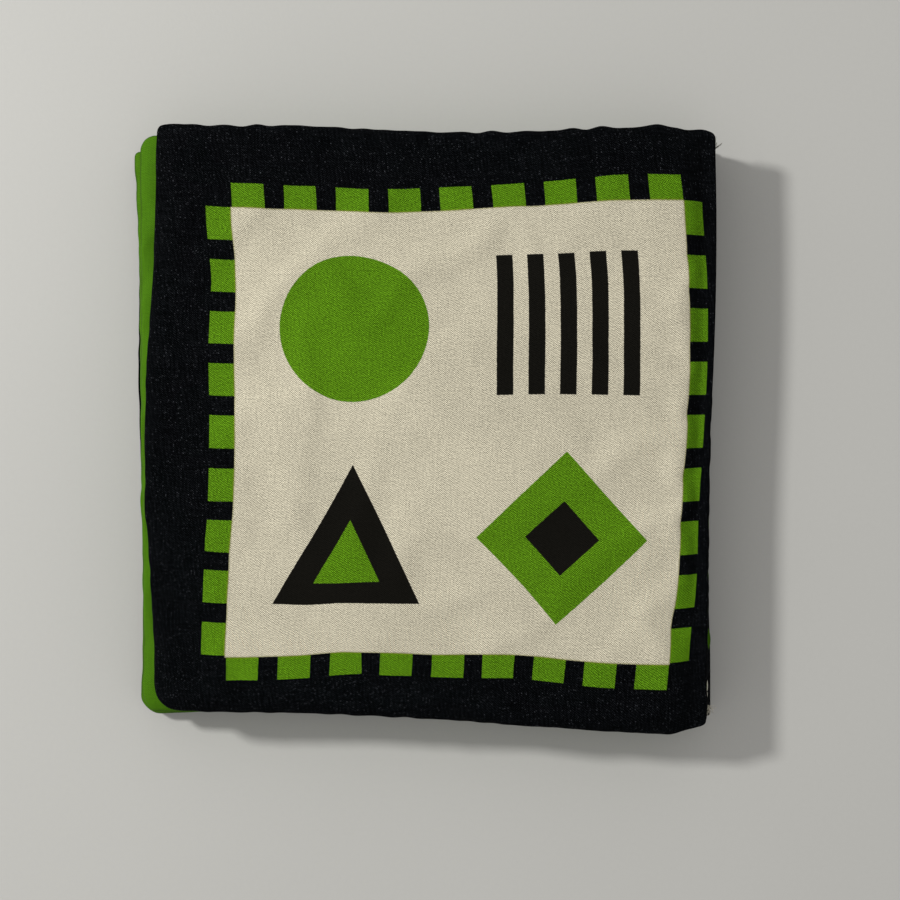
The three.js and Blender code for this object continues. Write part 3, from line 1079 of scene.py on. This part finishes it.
def front_print(x, y):
    """A cream panel in the frame of oblongs, with four plain shapes: a disc, stripes, two triangles one
    in the other, and a square on its corner."""
    panel = in_panel(x, y, 0.5, 0.5)
    border = square_border(x, y, 0.5, 0.5)
    fringe = (x.size().most(y.size()) - 0.5).size().below(0.002, 0.003)
    place = 0.235
    size = 0.165
    left, right = x + place, x - place
    upper, lower = y - place, y + place
    disc = from_middle(left, upper).below(size, ink_step)
    bar_pitch = size * 0.42
    bars = (right + bar_pitch / 2).every(bar_pitch).below(size * 0.11, ink_step)
    stripes = bars * in_panel(right, upper, bar_pitch * 2.5, size * 0.95)
    slope = left.size() * 1.9 + lower
    base = lower * -1
    outer_peak = slope.below(size, ink_step * 2) * base.below(size * 0.9, ink_step)
    inner_peak = slope.below(size * 0.25, ink_step * 2) * base.below(size * 0.6, ink_step)
    diamond = right.size() + lower.size()
    return [
        (panel, panel_cream),
        (border, leaf_green),
        (border.most(panel) * fringe * 0.5, fringe_brown),
        (disc, leaf_green),
        (stripes, mark_black),
        (outer_peak, mark_black),
        (inner_peak, leaf_green),
        (diamond.below(size * 1.15, ink_step), leaf_green),
        (diamond.below(size * 0.5, ink_step), mark_black),
    ]


def nested_page(x, y):
    """Squares one in the other."""
    pitch = 0.15
    first_edge = 0.03
    reach = x.size().most(y.size())
    rings = (reach - first_edge).every(pitch).below(pitch / 4, ink_step) * in_panel(x, y, 0.49, 0.49)
    return green_page(x, y, front_leaf, [(rings, mark_black)])


front_x, front_y, front_edges, front_upper, front_lower = sewn_leaf(front_leaf)
crown_x = np.clip(np.abs(2 * front_x / front_leaf["width"] + 1) / crown_half_share, 0, 1)
crown_y = np.clip(np.abs(2 * front_y / front_leaf["spine_height"]) / crown_half_share, 0, 1)
front_upper[..., 2] += cover_crown * (1 - crown_x**2) * (1 - crown_y**2)
front_map = pulled_map(front_x, front_y)
lining_map = plain_map(front_leaf, front_x, front_y)
panel_cloth = woven_finish("black_cloth_with_panel", front_print, **black_weave)
nested_cloth = woven_finish("green_cloth_with_squares", nested_page, **green_weave)
panel_piece(front_leaf, *lining_panel, False, front_lower, lining_map, nested_cloth)
panel_piece(front_leaf, *outer_panel, True, front_upper, front_map, panel_cloth)
inside_of(front_leaf, front_edges, front_upper, front_lower)

# The spine. Two tapes of black cover cloth are the hinges: each is sewn on the flat edge of one leaf,
# stands out round at the back of the book and goes in under the flat edge of the next.
spine_length = 129.0
spine_cloth_thickness = 0.4
spine_lap = 3.0
spine_round = 1.3
tape_clearance = 0.06
tape_dip = 0.6
tape_puckers = (0.12, 0.1)
tape_inside_hinge = 0.05
turning_from = 1.1
turning_to = leaf_pitch - 1.1
spine_cloth = woven_finish("black_spine_cloth", None, **black_weave)


def lean(leaf, y):
    """How far a leaf's spine edge stands back from the hinge line at a height on the spine."""
    down = leaf["spine_height"] / 2 - (y - leaf_shift_y)
    amount, shares = leaf["wander"].get("spine", (0, [0, 0]))
    pulled = amount * smooth_row(shares, down / leaf["spine_height"])
    return pulled - math.tan(math.radians(leaf["skew"])) * down - seam_edge


def spine_tape(name, low_leaf, high_leaf, dip, seed):
    """A tape that joins the spine edges of two leaves, puckered where it is sewn to them."""
    steps_flat = 4
    steps_round = 18
    steps_along = 110
    low_seam = middle_height(low_leaf)
    off_seam = seam_half + spine_cloth_thickness / 2 + tape_clearance
    low = low_seam + off_seam
    high = low_seam + leaf_pitch - off_seam
    flat_x = np.linspace(-spine_lap, -spine_round, steps_flat + 1)[:-1]
    turn = np.linspace(-math.pi / 2, math.pi / 2, steps_round + 1)
    path_x = np.concatenate([flat_x, spine_round * (np.cos(turn) - 1), flat_x[::-1]])
    arc_z = (low + high) / 2 + (high - low) / 2 * np.sin(turn)
    path_z = np.concatenate([np.full(steps_flat, low), arc_z, np.full(steps_flat, high)])
    steps = np.hypot(np.diff(path_x), np.diff(path_z))
    path_length = np.concatenate([[0], np.cumsum(steps)])
    y = np.linspace(-spine_length / 2, spine_length / 2, steps_along + 1)
    grid_length, grid_y = np.meshgrid(path_length, y, indexing="ij")
    share = ((path_z - low) / (high - low))[:, None]
    open_part = np.clip((path_x + spine_round) / spine_round, 0, 1)[:, None]
    out = lean(low_leaf, grid_y) * (1 - share) + lean(high_leaf, grid_y) * share + path_x[:, None]
    out += tape_puckers[0] * ripples(seed, grid_y, 4, 11) * open_part
    out -= dip * nearby(grid_y, peeping_place, peeping_reach, 4) * open_part
    height = path_z[:, None] + tape_puckers[1] * ripples(seed + 1, grid_y, 5, 15) * open_part
    points = np.stack([hinge_x + np.minimum(out, -tape_inside_hinge), grid_y, height], -1)
    cloth_map = np.stack([grid_y, grid_length], -1) / print_unit
    faces = grid_faces(*grid_y.shape, False)
    piece = new_piece(name, points.reshape(-1, 3), faces, spine_cloth, cloth_map.reshape(-1, 2))
    softened(piece)
    thickened(piece, spine_cloth_thickness, 0)
    return piece


for place, low_leaf, high_leaf, lies_on, dip, seed in (
    ("lower", back_leaf, inner_leaf, "back_cover_lining_cloth", tape_dip, 51),
    ("upper", inner_leaf, front_leaf, "inner_leaf_upper_cloth", 0.0, 53),
):
    tape = spine_tape("spine_tape_" + place, low_leaf, high_leaf, dip, seed)
    seam_height = middle_height(low_leaf)
    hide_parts("spine_cloth_" + place)
    (seam_height + turning_from) * mm
    (seam_height + turning_to) * mm
    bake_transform(tape)

# The spine stitching. A pale thread runs along the inner leaf's edge between the two tapes, and its cut
# ends have frayed into loose fibres at the head and the foot of the spine.
pale_thread = thread_finish("pale_thread", (206, 200, 184))
# A darker version of the pale thread, for the fibres at the head of the spine.
soiled_thread = thread_finish("soiled_thread", (88, 88, 70))
stitch_pitch = 3.1
stitch_thickness = 0.5
stitch_looseness = 0.05
stitch_out = -0.35
stitch_tail = 1.0
slack_place = -58.0
slack_reach = 4.5
slack_out = 0.35
fray_out = 0.35
foot_rise = 1.6
fibre_radius = 0.05
spine_seam = middle_height(inner_leaf)
run_end = spine_length / 2 - stitch_tail
run_y = np.linspace(-run_end, run_end, 60)
slack = slack_out * nearby(run_y, slack_place, slack_reach, 4)
run_x = hinge_x + lean(inner_leaf, run_y) + stitch_out + slack
spine_run = np.stack([run_x, run_y, np.full(60, spine_seam)], -1)
sewn_spine = ("spine_stitching", "spine_thread", "inner_leaf")
spine_sewing = stitch_settings(stitch_pitch, stitch_thickness, stitch_looseness, 5, pale_thread)
thread_piece("spine_stitches", *sewn_spine, [spine_run], False, stitches, spine_sewing)


def fibre_recipe():
    """Geometry nodes that turn paths into round fibres."""
    sockets = {"Paths": "Geometry", "Radius": "Float", "Thread": "Material"}
    tree, inputs, given, made = new_recipe("fibres_along_paths", sockets, "Fibres")
    curve = tree.nodes.new("GeometryNodeMeshToCurve")
    section = tree.nodes.new("GeometryNodeCurvePrimitiveCircle")
    section.inputs["Resolution"].default_value = 5
    tube = tree.nodes.new("GeometryNodeCurveToMesh")
    tube.inputs["Fill Caps"].default_value = True
    real = tree.nodes.new("GeometryNodeRealizeInstances")
    finish = tree.nodes.new("GeometryNodeSetMaterial")
    chained(tree, given, curve, tube, real, finish, made)
    tree.links.new(given.outputs["Radius"], section.inputs["Radius"])
    tree.links.new(section.outputs[0], tube.inputs["Profile Curve"])
    tree.links.new(given.outputs["Thread"], finish.inputs["Material"])
    return tree, inputs


fibres = fibre_recipe()


def frayed_end(name, start, headings, count, length, spread, finish, seed):
    """Loose fibres that leave a cut thread in one or two strands and curl apart."""
    steps = 9
    curl_spread = 0.16
    start_spread = 0.07
    dice = np.random.default_rng(seed)
    runs = []
    for number in range(count):
        heading = headings[number % len(headings)]
        direction = np.array(heading, float) + dice.normal(0, spread, 3)
        direction /= np.linalg.norm(direction)
        curl = dice.normal(0, curl_spread, 3)
        reach = length * dice.uniform(0.5, 1.0)
        spot = np.array(start, float) + dice.normal(0, start_spread, 3)
        run = []
        for _ in range(steps):
            run.append(spot)
            spot = spot + direction * reach / (steps - 1)
            direction = direction + curl
            direction /= np.linalg.norm(direction)
        runs.append(run)
    thread_piece(name, *sewn_spine, runs, False, fibres, {"Radius": fibre_radius * mm, "Thread": finish})


head = (hinge_x + lean(inner_leaf, run_end) + fray_out, run_end, spine_seam)
foot = (hinge_x + lean(inner_leaf, -run_end) + fray_out, -run_end + foot_rise, spine_seam)
head_strands = [(0.62, 0.7, 0.1), (0.1, 1.0, 0.1)]
foot_strands = [(0.35, -0.8, 0.1)]
frayed_end("spine_thread_head", head, head_strands, 10, 3.0, 0.1, soiled_thread, seed=61)
frayed_end("spine_thread_foot", foot, foot_strands, 22, 2.6, 0.3, pale_thread, seed=67)
